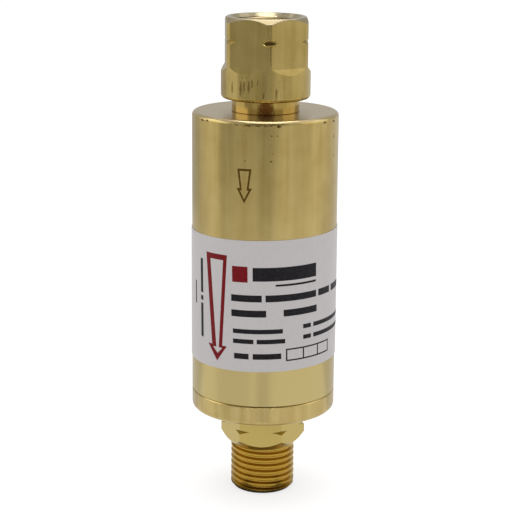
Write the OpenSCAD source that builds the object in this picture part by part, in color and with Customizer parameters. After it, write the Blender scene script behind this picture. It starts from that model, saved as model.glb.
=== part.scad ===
// Dry flashback arrestor for a fuel-gas line.
// The gas enters through the swivel nut at the top and leaves through the threaded outlet at the bottom.
// Millimetres, +Z up, the origin at the centre of the outlet's end face.

/* [Body shell] */
// Outside diameter of the body
body_d = 32; // [30:0.5:38]
// Wall of the body
body_wall = 3; // [2.4:0.1:3.4]
// Height of the body, from the cap's seam to the flat top
body_h = 62.8; // [58:0.2:90]
// Thickness of the top wall
top_wall = 6; // [5:0.5:8]
// Rounding of the body's top rim
rim_r = 0.9; // [0.4:0.1:1.5]
// Chamfer on both edges of the seam between body and cap
seam_chamfer = 0.25; // [0.1:0.05:0.5]

/* [Outlet] */
// Major diameter of the outlet's left-hand thread
outlet_thread_d = 14.288; // [13:0.001:14.6]
// Length of the outlet's thread
outlet_thread_l = 10.6; // [8:0.1:14]
// Chamfer at the thread's end
outlet_thread_chamfer = 0.75; // [0.4:0.05:1]
// Bore of the outlet
outlet_bore_d = 7.2; // [5:0.1:8]
// Mouth of the conical seat in the outlet's end
outlet_seat_d = 10.4; // [9:0.1:11]
// Slope of the conical seat, measured from the axis
outlet_seat_angle = 30; // [25:1:45]
// Width across the flats of the outlet's hexagon
outlet_af = 16.4; // [16:0.1:20]
// Height of the outlet's hexagon
outlet_hex_h = 8.8; // [8:0.1:14]
// Turn of the outlet's hexagon about the axis, in degrees
outlet_hex_turn = -3; // [-30:1:30]
// Height of the groove that notches the hexagon's corners, above the thread
outlet_notch_z = 4.5; // [4:0.1:6]
// Depth of that groove below the hexagon's corners
outlet_notch_depth = 0.9; // [0.3:0.05:1]
// Height of that groove at the hexagon's corners
outlet_notch_w = 1; // [0.6:0.1:1.4]

/* [Cap] */
// Height of the cap's rim
cap_h = 4.3; // [4:0.1:8]
// Rounding of the cap's lower edge
cap_edge_r = 1; // [0.5:0.1:1.5]
// Length of the cap's spigot inside the body
spigot_l = 6.8; // [6:0.2:7.5]
// Wall of the spigot around its recess
spigot_wall = 1.8; // [1.5:0.1:2.2]
// Depth by which the body's mouth is opened out for the spigot's thread
spigot_step = 0.8; // [0.6:0.1:1]
// Room between the spigot and the step in the body
spigot_room = 1.2; // [0.8:0.1:2]
// Thickness of the spigot's floor above the seam
spigot_floor = 2.8; // [2.6:0.1:3.5]

/* [Nipple] */
// Diameter of the neck
neck_d = 14.8; // [14.2:0.1:15.6]
// Visible height of the neck, between body and nut
neck_gap = 2.8; // [2:0.1:6]
// Height of the neck inside the nut
neck_inside = 4.6; // [4.2:0.1:6]
// Chamfer on the neck's edges
neck_chamfer = 0.1; // [0.1:0.05:0.4]
// Diameter of the nipple's threaded stem
stem_d = 11; // [10:0.1:11.4]
// Gas bore of the nipple
nipple_bore_d = 6; // [4:0.1:6.6]
// Base of the sealing nose
nose_base_d = 12; // [10:0.1:12.4]
// Tip of the sealing nose
nose_tip_d = 8; // [7.4:0.1:9]
// Height of the sealing nose
nose_h = 3; // [2:0.1:4]

/* [Swivel nut] */
// Diameter of the nut's round stock and collar
nut_d = 19.5; // [19:0.1:22]
// Width across the nut's flats
nut_af = 17.46; // [17:0.01:18]
// Height of the nut
nut_h = 17.6; // [16:0.1:24]
// Height of the round collar below the flats
nut_collar_h = 5.8; // [5:0.1:6.6]
// Rise of the sloped run-out at each flat's lower end, for each unit of depth
nut_runout = 1.25; // [0.8:0.05:1.6]
// Turn of the nut about the axis, in degrees
nut_turn = 4; // [-30:1:30]
// Minor diameter of the nut's left-hand thread
nut_thread_d = 13; // [12.4:0.1:13.4]
// Mouth of the countersink above the thread
nut_mouth_d = 15.8; // [14.2:0.1:16.2]
// Width of the flat rim around the mouth's outside
nut_face_d = 17; // [16.4:0.1:17.6]
// Height of the chamfer that runs up to the top face
nut_top_chamfer_h = 1; // [0.5:0.1:1.6]
// Rounding of the collar's lower edge
nut_foot_r = 0.9; // [0.4:0.1:1.2]
// Height of the groove that notches the nut's corners
nut_notch_z = 12.6; // [11:0.1:13.4]
// Depth of that groove below the nut's corners
nut_notch_depth = 0.5; // [0.3:0.05:0.6]
// Height of that groove at the nut's corners
nut_notch_w = 1.1; // [0.6:0.1:1.4]
// Room between the sealing nose and the start of the thread
nose_room = 0.5; // [0.3:0.1:1]
// Height of the retaining ring above the nut's foot
nut_ring_z = 2.6; // [2:0.1:2.8]
// Wire of the retaining ring
nut_ring_wire = 1.5; // [1:0.1:1.6]
// Opening of the split retaining ring, in degrees
nut_ring_split = 20; // [10:1:40]

/* [Strainer] */
// Outside diameter of the strainer
strainer_d = 8; // [7:0.1:8.4]
// Length of the strainer
strainer_l = 6.5; // [5:0.1:9]
// Wall of the strainer
strainer_wall = 0.8; // [0.6:0.1:1]
// Thickness of the ring that keeps the strainer in
strainer_ring_h = 1; // [0.8:0.1:1.5]

/* [Check valve] */
// Gas way through the check valve's seat
check_orifice_d = 7; // [5:0.1:7.4]
// Thickness of the plate that carries the seat
check_plate_h = 3; // [2.8:0.1:4]
// Height of the seat's lip
check_lip_h = 0.5; // [0.3:0.1:0.8]
// Width of the seat's lip
check_lip_w = 0.7; // [0.5:0.1:1]
// Diameter of the check valve's chamber
check_chamber_d = 18; // [17:0.1:19]
// Diameter of the poppet's disc
poppet_d = 11.6; // [10.6:0.1:13]
// Thickness of the poppet's disc
poppet_h = 1.5; // [1:0.1:2]
// Diameter of the poppet's stem
poppet_stem_d = 3; // [2.4:0.1:3.4]
// Thickness of the poppet's rubber face
poppet_seal_h = 1; // [0.6:0.1:1.5]
// Travel of the poppet
poppet_travel = 1.5; // [1:0.1:2]
// Length of the check spring with the valve shut
check_spring_l = 5.5; // [5:0.1:7]
// Wire of the check spring
check_spring_wire = 0.5; // [0.3:0.05:0.6]
// Mean diameter of the check spring
check_spring_d = 7; // [6.8:0.1:8]
// Thickness of the guide's plate
guide_h = 1.5; // [1.2:0.1:2]
// Outside diameter of the guide's hub
guide_hub_d = 5.2; // [4.6:0.1:5.6]
// Gas holes in the guide
guide_holes = 6; // [4:1:8]
// Diameter of the guide's gas holes
guide_hole_d = 2.8; // [2:0.1:3]

/* [Cut-off valve] */
// Diameter of the cut-off valve's chamber
cutoff_chamber_d = 20; // [19.4:0.1:21]
// Thickness of the cut-off seat
cutoff_seat_h = 3; // [2.6:0.1:4]
// Gas way through the cut-off seat
cutoff_orifice_d = 9; // [8:0.1:10]
// Depth of the recess that gathers the gas above the cut-off seat
cutoff_recess_h = 1.5; // [1:0.1:1.6]
// Width of the rim around that recess
cutoff_rim_w = 1.8; // [1.4:0.1:2.2]
// Height of the cut-off seat's lip
cutoff_lip_h = 0.4; // [0.3:0.1:0.8]
// Width of the cut-off seat's lip
cutoff_lip_w = 0.8; // [0.5:0.1:1]
// Way that the piston has to go when the solder melts
cutoff_stroke = 2.3; // [1.5:0.1:3]
// Diameter of the piston's head
piston_d = 12.4; // [11.6:0.1:14]
// Thickness of the piston's head
piston_h = 2; // [1.5:0.1:3]
// Diameter of the piston's stem
piston_stem_d = 3.6; // [3:0.1:4]
// Thickness of the piston's seal
piston_seal_h = 0.8; // [0.6:0.1:1.2]
// Inner diameter of the piston's seal
piston_seal_bore_d = 7; // [5:0.1:7.6]
// Length of the compressed cut-off spring
cutoff_spring_l = 5.5; // [5:0.1:8]
// Wire of the cut-off spring
cutoff_spring_wire = 0.8; // [0.5:0.05:0.9]
// Mean diameter of the cut-off spring
cutoff_spring_d = 8; // [7.4:0.1:8.6]
// Thickness of the holder
holder_h = 4; // [3.6:0.1:5]
// Diameter of the fusible solder ring
solder_d = 5.6; // [5:0.1:6]
// Height of the fusible solder ring
solder_h = 2.4; // [1.5:0.1:3]
// Gas holes in the holder
holder_holes = 8; // [5:1:10]
// Diameter of the holder's gas holes
holder_hole_d = 2.2; // [1.6:0.1:2.6]

/* [Flame element] */
// Outside diameter of the sintered element
element_d = 21; // [20:0.1:23]
// Wall of the sintered element
element_wall = 2.7; // [2:0.1:3]
// Thickness of the element's closed end
element_floor = 4; // [3:0.1:6]
// Thickness of the element's gasket
element_gasket_h = 0.8; // [0.5:0.1:1.5]
// Height of the slotted support under the element
support_h = 4; // [3.6:0.1:5]
// Centre hole of the support
support_bore_d = 10; // [8:0.1:12]
// Gas slots in the support
support_slots = 6; // [4:1:8]
// Width of the support's slots
support_slot_w = 3; // [2:0.1:3.4]
// Depth of the support's slots
support_slot_h = 2.6; // [1.5:0.1:3]

/* [Seals] */
// Cord of the ring between cap and body
cap_seal_cord = 1.3; // [1:0.1:1.4]
// Height of that ring above the seam
cap_seal_z = 1.5; // [1.2:0.1:1.7]
// Cord of the ring under the nipple's shoulder
nipple_seal_cord = 1.1; // [0.8:0.1:1.1]
// Cord of the ring above the valve body
valve_seal_cord = 1.6; // [1.2:0.1:1.6]
// Mean diameter of the ring above the valve body
valve_seal_d = 17; // [15.6:0.1:20]

/* [Label] */
// Height of the label's lower edge above the seam
label_z = 8.2; // [4:0.1:12]
// Height of the label
label_h = 29.1; // [20:0.1:36]
// Thickness of the label
label_t = 0.12; // [0.08:0.01:0.2]
// Layer of glue under the label
label_glue = 0.03; // [0.02:0.01:0.05]
// Slope at which the label is stuck on, in degrees
label_skew = 1.1; // [0:0.1:2]
// Gap between the label's ends, at the back
label_gap = 2; // [0.5:0.1:6]

/* [Clearances] */
// Radial clearance between screwed or seated pieces
slip = 0.03; // [0.02:0.01:0.06]
// Radial running clearance of the nut and the poppet
run = 0.06; // [0.03:0.01:0.09]
// Clearance around the seals and the retaining ring in their grooves
groove_play = 0.06; // [0.04:0.01:0.1]
// Clearance at both ends of the springs
spring_end = 0.02; // [0.01:0.01:0.05]

/* [Hidden] */
$fn = 96;

// Colours
BRASS = [0.71, 0.62, 0.36];
DARK_BRASS = [0.62, 0.5, 0.24];
BRONZE = [0.6, 0.42, 0.24];
STEEL = [0.66, 0.67, 0.69];
SOLDER = [0.5, 0.51, 0.53];
RUBBER = [0.1, 0.1, 0.11];
GASKET = [0.55, 0.53, 0.48];
FILM = [0.85, 0.84, 0.85];

// Overlap of cutting tools past the faces that they cut
past = 1;
// Room between the outlet hexagon's corners and the outline that limits it
corner_room = 0.3;
hex_sides = 6;

// Heights of the outside, from the outlet's end upwards
z_hex = outlet_thread_l;
z_cap = z_hex + outlet_hex_h;
z_seam = z_cap + cap_h;
z_top = z_seam + body_h;
z_nut = z_top + neck_gap;
z_nut_top = z_nut + nut_h;
z_neck_top = z_nut + neck_inside;
z_nose = z_neck_top + nose_h;
z_nut_thread = z_nose + nose_room;

// Heights of the inside, from the top wall downwards
z_ceiling = z_top - top_wall;
z_check_plate = z_ceiling - check_plate_h;
z_check_lip = z_check_plate - check_lip_h;
z_poppet_top = z_check_lip - poppet_seal_h;
z_poppet = z_poppet_top - poppet_h;
z_guide_top = z_poppet - check_spring_l;
z_guide = z_guide_top - guide_h;
z_cutoff_seat = z_guide - cutoff_seat_h;
z_cutoff_lip = z_cutoff_seat - cutoff_lip_h;
z_piston_seal = z_cutoff_lip - cutoff_stroke;
z_piston_top = z_piston_seal - piston_seal_h;
z_piston = z_piston_top - piston_h;
z_holder_top = z_piston - cutoff_spring_l;
z_holder = z_holder_top - holder_h;
z_element_top = z_holder - element_gasket_h;

// Heights of the inside, from the cap upwards
z_spigot = z_seam + spigot_l;
z_recess = z_seam + spigot_floor;
z_element = z_recess + support_h;
z_body_step = z_spigot + spigot_room;

// Radii
body_r = body_d / 2;
bore_r = body_r - body_wall;
mouth_r = bore_r + spigot_step;
spigot_r = mouth_r - slip;
recess_r = spigot_r - spigot_wall;
outlet_thread_r = outlet_thread_d / 2;
outlet_bore_r = outlet_bore_d / 2;
outlet_seat_r = outlet_seat_d / 2;
outlet_seat_h = (outlet_seat_r - outlet_bore_r) / tan(outlet_seat_angle);
outlet_corner_r = outlet_af / 2 / cos(180 / hex_sides);
neck_r = neck_d / 2;
stem_r = stem_d / 2;
nut_r = nut_d / 2;
nut_bore_r = neck_r + run;
nut_thread_r = nut_thread_d / 2;
nut_mouth_r = nut_mouth_d / 2;
nut_flat_r = nut_af / 2;
nut_ring_r = neck_r + run / 2;
sleeve_r = bore_r - slip;
cutoff_chamber_r = cutoff_chamber_d / 2;
guide_r = cutoff_chamber_r - slip;
element_r = element_d / 2;
element_bore_r = element_r - element_wall;
cutoff_recess_r = guide_r - cutoff_rim_w;
nipple_seal_seat_r = stem_r + slip + nipple_seal_cord + groove_play;
cap_seal_seat_r = mouth_r - cap_seal_cord - groove_play;
solder_r = solder_d / 2;

// A closed outline in radius and height, turned about the axis
module turned(outline) {
    rotate_extrude() polygon(outline);
}

// A plain ring between two radii and two heights
module ring(outer, inner, low, high) {
    turned([[inner, low], [outer, low], [outer, high], [inner, high]]);
}

// A rubber ring of round cord
module o_ring(mean, cord, height) {
    rotate_extrude() translate([mean, height]) circle(d = cord);
}

// The waste outside a quarter round, for rounding an outline's corner at r, z. side is +1 for an upper corner.
module corner_waste(r, z, radius, side) {
    difference() {
        translate([r - radius, side > 0 ? z - radius : z - past]) square(radius + past);
        translate([r - radius, z - side * radius]) circle(radius);
    }
}

// Holes or slots set evenly round the axis
module around(count) {
    for (i = [0 : count - 1]) rotate([0, 0, i * 360 / count]) children();
}

// The points of a turned V groove that notches a hexagon's corners, from below.
// The outline that it cuts may stand off the corners by some room.
function notch(corner, z, depth, width, room) =
    let (half = width / 2 * (depth + room) / depth)
    [[corner + room, z - half], [corner - depth, z], [corner + room, z + half]];

// Height of a spring's wire at t turns: closed end turns, and an even pitch between them
function spring_z(t, wire, rise, active, closed) =
    let (pitch = (rise - 2 * closed * wire) / active)
    t < closed ? t * wire
    : t < closed + active ? closed * wire + (t - closed) * pitch
    : rise - (active + 2 * closed - t) * wire;

// A round-wire spring between two heights
module spring(mean_d, wire, low, high, active, closed) {
    steps = 16;
    sides = 8;
    rise = high - low - wire - 2 * spring_end;
    count = round((active + 2 * closed) * steps);
    points = [for (i = [0 : count]) for (k = [0 : sides - 1])
        let (turn = i * 360 / steps, side = k * 360 / sides)
        let (reach = mean_d / 2 + wire / 2 * cos(side))
        let (height = spring_z(i / steps, wire, rise, active, closed) + wire / 2 * sin(side))
        [reach * cos(turn), reach * sin(turn), low + spring_end + wire / 2 + height]];
    walls = [for (i = [0 : count - 1]) for (k = [0 : sides - 1])
        let (next = (k + 1) % sides, a = i * sides, b = a + sides)
        each [[a + k, a + next, b + next], [a + k, b + next, b + k]]];
    first = [for (k = [0 : sides - 1]) sides - 1 - k];
    last = [for (k = [0 : sides - 1]) count * sides + k];
    polyhedron(points, concat(walls, [first, last]));
}

// Body: a cup turned from bar, open at the bottom, with the nipple's hole in its top wall
module housing_shell() {
    color(BRASS) rotate_extrude() difference() {
        polygon([
            [mouth_r, z_seam], [body_r - seam_chamfer, z_seam], [body_r, z_seam + seam_chamfer],
            [body_r, z_top], [nipple_seal_seat_r, z_top],
            [nipple_seal_seat_r, z_top - nipple_seal_cord - groove_play],
            [stem_r + slip, z_top - nipple_seal_cord - groove_play],
            [stem_r + slip, z_ceiling], [bore_r, z_ceiling],
            [bore_r, z_body_step], [mouth_r, z_body_step]
        ]);
        corner_waste(body_r, z_top, rim_r, 1);
    }
}

// Outside of the outlet's hexagon: a cone below, and the groove that notches its corners
module outlet_hex_limit() {
    outer = outlet_corner_r + corner_room;
    turned(concat(
        [[0, z_hex], [outlet_thread_r, z_hex], [outer, z_hex + outer - outlet_thread_r]],
        notch(outlet_corner_r, z_hex + outlet_notch_z, outlet_notch_depth, outlet_notch_w, corner_room),
        [[outer, z_cap + past], [0, z_cap + past]]
    ));
}

// Cap, hexagon and outlet thread in one piece, with the spigot that screws into the body
module outlet_cap() {
    seal_low = z_seam + cap_seal_z - cap_seal_cord / 2 - groove_play;
    seal_high = z_seam + cap_seal_z + cap_seal_cord / 2 + groove_play;
    color(BRASS) difference() {
        union() {
            rotate_extrude() difference() {
                polygon([
                    [0, 0], [outlet_thread_r - outlet_thread_chamfer, 0],
                    [outlet_thread_r, outlet_thread_chamfer], [outlet_thread_r, z_cap],
                    [body_r, z_cap], [body_r, z_seam - seam_chamfer], [body_r - seam_chamfer, z_seam],
                    [spigot_r, z_seam], [spigot_r, seal_low], [cap_seal_seat_r, seal_low],
                    [cap_seal_seat_r, seal_high], [spigot_r, seal_high], [spigot_r, z_spigot],
                    [recess_r, z_spigot], [recess_r, z_recess], [0, z_recess]
                ]);
                corner_waste(body_r, z_cap, cap_edge_r, -1);
            }
            intersection() {
                rotate([0, 0, outlet_hex_turn]) translate([0, 0, z_hex])
                    cylinder(r = outlet_corner_r, h = outlet_hex_h, $fn = hex_sides);
                outlet_hex_limit();
            }
        }
        turned([
            [0, -past], [outlet_seat_r + past * tan(outlet_seat_angle), -past],
            [outlet_bore_r, outlet_seat_h], [outlet_bore_r, z_recess + past], [0, z_recess + past]
        ]);
    }
}

// Nipple: stem through the top wall, neck that carries the nut, and the sealing nose inside the nut
module inlet_nipple() {
    ring_low = z_nut + nut_ring_z - nut_ring_wire / 2 - groove_play;
    ring_high = z_nut + nut_ring_z + nut_ring_wire / 2 + groove_play;
    ring_seat_r = nut_ring_r - nut_ring_wire / 2 - groove_play;
    pocket_r = strainer_d / 2 + slip;
    z_pocket = z_ceiling + strainer_ring_h + strainer_l;
    color(BRASS) turned([
        [pocket_r, z_ceiling], [stem_r, z_ceiling], [stem_r, z_top],
        [neck_r - neck_chamfer, z_top], [neck_r, z_top + neck_chamfer],
        [neck_r, ring_low], [ring_seat_r, ring_low], [ring_seat_r, ring_high], [neck_r, ring_high],
        [neck_r, z_neck_top - neck_chamfer], [neck_r - neck_chamfer, z_neck_top],
        [nose_base_d / 2, z_neck_top], [nose_tip_d / 2, z_nose], [nipple_bore_d / 2, z_nose],
        [nipple_bore_d / 2, z_pocket], [pocket_r, z_pocket]
    ]);
}

// One milled flat of the nut, with its sloped run-out at the lower end
module nut_flat_waste() {
    reach = nut_r + past;
    z_flat = z_nut + nut_collar_h + (nut_r - nut_flat_r) * nut_runout;
    rotate([90, 0, 0]) linear_extrude(2 * reach, center = true) polygon([
        [nut_flat_r, z_flat], [reach, z_flat - (reach - nut_flat_r) * nut_runout],
        [reach, z_nut_top + past], [nut_flat_r, z_nut_top + past]
    ]);
}

// Nut: turned from round bar, then six flats are milled into it down to the collar
module swivel_nut() {
    groove_low = z_nut + nut_ring_z - nut_ring_wire / 2 - groove_play;
    groove_high = z_nut + nut_ring_z + nut_ring_wire / 2 + groove_play;
    groove_r = nut_ring_r + nut_ring_wire / 2 + groove_play;
    z_mouth = z_nut_top - (nut_mouth_r - nut_thread_r);
    color(BRASS) difference() {
        rotate_extrude() difference() {
            polygon(concat(
                [[nut_bore_r, z_nut], [nut_r, z_nut]],
                notch(nut_r, z_nut + nut_notch_z, nut_notch_depth, nut_notch_w, 0),
                [
                    [nut_r, z_nut_top - nut_top_chamfer_h], [nut_face_d / 2, z_nut_top],
                    [nut_mouth_r, z_nut_top], [nut_thread_r, z_mouth], [nut_thread_r, z_nut_thread],
                    [nut_bore_r, z_nut_thread], [nut_bore_r, groove_high], [groove_r, groove_high],
                    [groove_r, groove_low], [nut_bore_r, groove_low]
                ]
            ));
            corner_waste(nut_r, z_nut, nut_foot_r, -1);
        }
        rotate([0, 0, nut_turn]) around(hex_sides) nut_flat_waste();
    }
}

// Split wire ring that sits half in the neck and half in the nut
module nut_retaining_ring() {
    color(STEEL) rotate([0, 0, 90 + nut_ring_split / 2]) rotate_extrude(angle = 360 - nut_ring_split)
        translate([nut_ring_r, z_nut + nut_ring_z]) circle(d = nut_ring_wire);
}

// Seal under the nipple's shoulder
module nipple_o_ring() {
    room = nipple_seal_cord + groove_play;
    color(RUBBER) o_ring(stem_r + slip + room / 2, nipple_seal_cord, z_top - room / 2);
}

// Sintered dirt strainer, a cup with its closed end up
module inlet_strainer() {
    low = z_ceiling + strainer_ring_h;
    outer = strainer_d / 2;
    color(BRONZE) turned([
        [outer - strainer_wall, low], [outer, low], [outer, low + strainer_l], [0, low + strainer_l],
        [0, low + strainer_l - strainer_wall], [outer - strainer_wall, low + strainer_l - strainer_wall]
    ]);
}

// Ring pressed into the nipple's end below the strainer
module strainer_ring() {
    color(DARK_BRASS) ring(strainer_d / 2, strainer_d / 2 - strainer_wall, z_ceiling, z_ceiling + strainer_ring_h);
}

// Sleeve that carries both valves, with the check valve's seat in its top plate
module valve_body() {
    seal_room = valve_seal_cord + groove_play;
    orifice_r = check_orifice_d / 2;
    color(DARK_BRASS) turned([
        [orifice_r, z_check_lip], [orifice_r + check_lip_w, z_check_lip],
        [orifice_r + check_lip_w, z_check_plate], [check_chamber_d / 2, z_check_plate],
        [check_chamber_d / 2, z_guide_top], [cutoff_chamber_r, z_guide_top],
        [cutoff_chamber_r, z_holder_top], [sleeve_r, z_holder_top], [sleeve_r, z_ceiling],
        [valve_seal_d / 2 + seal_room / 2, z_ceiling], [valve_seal_d / 2 + seal_room / 2, z_ceiling - seal_room],
        [valve_seal_d / 2 - seal_room / 2, z_ceiling - seal_room], [valve_seal_d / 2 - seal_room / 2, z_ceiling],
        [orifice_r, z_ceiling]
    ]);
}

// Seal between the valve body and the top wall
module valve_body_o_ring() {
    color(RUBBER) o_ring(valve_seal_d / 2, valve_seal_cord, z_ceiling - (valve_seal_cord + groove_play) / 2);
}

// Poppet of the check valve: a disc with a boss for its seal above and a guided stem below
module check_poppet() {
    stem = poppet_stem_d / 2;
    color(DARK_BRASS) turned([
        [0, z_guide], [stem, z_guide], [stem, z_poppet], [poppet_d / 2, z_poppet],
        [poppet_d / 2, z_poppet_top], [stem, z_poppet_top], [stem, z_check_lip], [0, z_check_lip]
    ]);
}

// Rubber face of the poppet
module poppet_seal() {
    outer = (check_orifice_d / 2 + check_lip_w + poppet_d / 2) / 2;
    color(RUBBER) ring(outer, poppet_stem_d / 2 + slip, z_poppet_top, z_check_lip);
}

// Spring that shuts the check valve
module check_spring() {
    color(STEEL) spring(check_spring_d, check_spring_wire, z_guide_top, z_poppet, 3, 1);
}

// Perforated guide: it carries the spring, and its hub guides the poppet's stem and stops the poppet
module check_guide() {
    hole_r = poppet_stem_d / 2 + run;
    hub_r = guide_hub_d / 2;
    hub_top = z_poppet - poppet_travel - groove_play;
    hole_ring_r = ((check_spring_d + check_spring_wire) / 2 + cutoff_recess_r) / 2;
    color(DARK_BRASS) difference() {
        turned([
            [hole_r, z_guide], [guide_r, z_guide], [guide_r, z_guide_top], [hub_r, z_guide_top],
            [hub_r, hub_top], [hole_r, hub_top]
        ]);
        around(guide_holes) translate([hole_ring_r, 0, z_guide - past])
            cylinder(d = guide_hole_d, h = guide_h + 2 * past);
    }
}

// Seat of the cut-off valve, screwed in below the guide
module cutoff_seat() {
    orifice_r = cutoff_orifice_d / 2;
    color(DARK_BRASS) turned([
        [orifice_r, z_cutoff_lip], [orifice_r + cutoff_lip_w, z_cutoff_lip],
        [orifice_r + cutoff_lip_w, z_cutoff_seat], [guide_r, z_cutoff_seat], [guide_r, z_guide],
        [cutoff_recess_r, z_guide], [cutoff_recess_r, z_guide - cutoff_recess_h],
        [orifice_r, z_guide - cutoff_recess_h]
    ]);
}

// Piston of the cut-off valve, soldered open in the holder
module cutoff_piston() {
    stem = piston_stem_d / 2;
    boss = piston_seal_bore_d / 2 - slip;
    color(DARK_BRASS) turned([
        [0, z_holder], [stem, z_holder], [stem, z_piston], [piston_d / 2, z_piston],
        [piston_d / 2, z_piston_top], [boss, z_piston_top], [boss, z_piston_seal], [0, z_piston_seal]
    ]);
}

// Seal on the piston's head
module cutoff_seal() {
    color(RUBBER) ring(piston_d / 2, piston_seal_bore_d / 2, z_piston_top, z_piston_seal);
}

// Spring that drives the piston up when the solder melts
module cutoff_spring() {
    color(STEEL) spring(cutoff_spring_d, cutoff_spring_wire, z_holder_top, z_piston, 2, 1);
}

// Low-melting solder between the piston's stem and the holder
module fusible_ring() {
    color(SOLDER) ring(solder_r, piston_stem_d / 2 + slip, z_holder_top - solder_h, z_holder_top);
}

// Perforated holder: it carries piston, spring and solder, and closes the gap around the element
module cutoff_holder() {
    hole_r = piston_stem_d / 2 + slip;
    hole_ring_r = ((cutoff_spring_d + cutoff_spring_wire) / 2 + element_bore_r) / 2;
    color(DARK_BRASS) difference() {
        turned([
            [hole_r, z_holder], [sleeve_r, z_holder], [sleeve_r, z_holder_top],
            [solder_r + slip, z_holder_top], [solder_r + slip, z_holder_top - solder_h],
            [hole_r, z_holder_top - solder_h]
        ]);
        around(holder_holes) translate([hole_ring_r, 0, z_holder - past])
            cylinder(d = holder_hole_d, h = holder_h + 2 * past);
    }
}

// Gasket between the holder and the element
module element_gasket() {
    color(GASKET) ring(element_r, element_bore_r, z_element_top, z_holder);
}

// Flame element: a sintered cup, open at the top, that fills the length left between support and gasket
module flame_element() {
    color(STEEL) turned([
        [0, z_element], [element_r, z_element], [element_r, z_element_top], [element_bore_r, z_element_top],
        [element_bore_r, z_element + element_floor], [0, z_element + element_floor]
    ]);
}

// Slotted ring in the cap's recess that carries the element and lets the gas in below it
module element_support() {
    outer = recess_r - slip;
    color(DARK_BRASS) difference() {
        ring(outer, support_bore_d / 2, z_recess, z_element);
        around(support_slots) translate([0, -support_slot_w / 2, z_element - support_slot_h])
            cube([outer + past, support_slot_w, support_slot_h + past]);
    }
}

// Seal between cap and body
module cap_o_ring() {
    color(RUBBER) o_ring(mouth_r - (cap_seal_cord + groove_play) / 2, cap_seal_cord, z_seam + cap_seal_z);
}

// Printed film round the body, stuck on at a slight slope, with its ends at the back
module label_wrap() {
    inner = body_r + label_glue;
    outer = inner + label_t;
    low = z_seam + label_z;
    color(FILM) difference() {
        intersection() {
            ring(outer, inner, z_seam, z_top);
            rotate([0, -label_skew, 0]) translate([-body_d, -body_d, low])
                cube([2 * body_d, 2 * body_d, label_h]);
        }
        translate([-label_gap / 2, 0, z_seam]) cube([label_gap, body_d, body_h]);
    }
}

housing_shell();
outlet_cap();
inlet_nipple();
swivel_nut();
nut_retaining_ring();
nipple_o_ring();
inlet_strainer();
strainer_ring();
valve_body();
valve_body_o_ring();
check_poppet();
poppet_seal();
check_spring();
check_guide();
cutoff_seat();
cutoff_piston();
cutoff_seal();
cutoff_spring();
fusible_ring();
cutoff_holder();
element_gasket();
flame_element();
element_support();
cap_o_ring();
label_wrap();
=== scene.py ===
"""A brass flame arrestor, dressed: turned brass, cut threads, a printed label and a plain studio.

Lengths are in millimetres unless a name says otherwise. MM turns them into the frame's metres.
"""

import logging
import math
from dataclasses import dataclass
from enum import Enum
from typing import Any, Callable, Optional, Sequence, Union

import bmesh
import bpy
from mathutils import Matrix, Vector


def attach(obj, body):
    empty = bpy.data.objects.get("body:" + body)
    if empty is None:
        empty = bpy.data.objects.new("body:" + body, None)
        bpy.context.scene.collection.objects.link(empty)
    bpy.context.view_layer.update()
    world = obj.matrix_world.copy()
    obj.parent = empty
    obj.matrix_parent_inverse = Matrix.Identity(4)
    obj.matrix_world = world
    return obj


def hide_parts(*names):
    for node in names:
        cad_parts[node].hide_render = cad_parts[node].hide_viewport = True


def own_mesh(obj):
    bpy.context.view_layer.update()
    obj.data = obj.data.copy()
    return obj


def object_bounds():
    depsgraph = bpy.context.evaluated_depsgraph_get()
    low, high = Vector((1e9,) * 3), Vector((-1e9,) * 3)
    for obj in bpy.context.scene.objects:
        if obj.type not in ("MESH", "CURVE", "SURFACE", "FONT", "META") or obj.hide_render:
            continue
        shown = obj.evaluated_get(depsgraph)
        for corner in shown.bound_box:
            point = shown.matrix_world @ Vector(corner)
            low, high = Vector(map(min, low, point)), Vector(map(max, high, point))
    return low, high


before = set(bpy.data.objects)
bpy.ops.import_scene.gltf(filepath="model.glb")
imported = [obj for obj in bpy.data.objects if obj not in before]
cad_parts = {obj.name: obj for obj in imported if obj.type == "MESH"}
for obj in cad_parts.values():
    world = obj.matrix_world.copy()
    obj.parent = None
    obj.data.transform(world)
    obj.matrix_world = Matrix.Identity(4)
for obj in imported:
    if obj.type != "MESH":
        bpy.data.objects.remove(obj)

MM = 0.001
INCH = 25.4
# Points of a mesh that lie this close together are one.
NEAR = 0.001
NEARER = 0.0001
NOISE_MIDDLE = 0.5
CAD_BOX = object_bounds()
IMAGE_PX = 512
LOG = logging.getLogger("flame_arrestor")

Colour = tuple[float, float, float]
Point = tuple[float, float]
Point3 = tuple[float, float, float]
Value = Union["Flow", float]

WHITE: Colour = (1.0, 1.0, 1.0)


class Body(Enum):
    """The bodies of the frame that pieces ride on."""

    HOUSING = "housing"
    NUT = "nut"


class Hand(Enum):
    """Which way a thread winds as it climbs."""

    LEFT = -1
    RIGHT = 1


class Wall(Enum):
    """The wall that a thread is cut into, and the way its groove runs from there."""

    OUTSIDE = -1
    INSIDE = 1


def srgb(red: int, green: int, blue: int) -> Colour:
    """Turns a screen colour into the linear one that nodes take.

    Args:
        red: red, from 0 to 255.
        green: green, from 0 to 255.
        blue: blue, from 0 to 255.

    Returns:
        The linear colour.
    """
    shares = [channel / 255 for channel in (red, green, blue)]
    return tuple(s / 12.92 if s <= 0.04045 else ((s + 0.055) / 1.055) ** 2.4 for s in shares)


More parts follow.
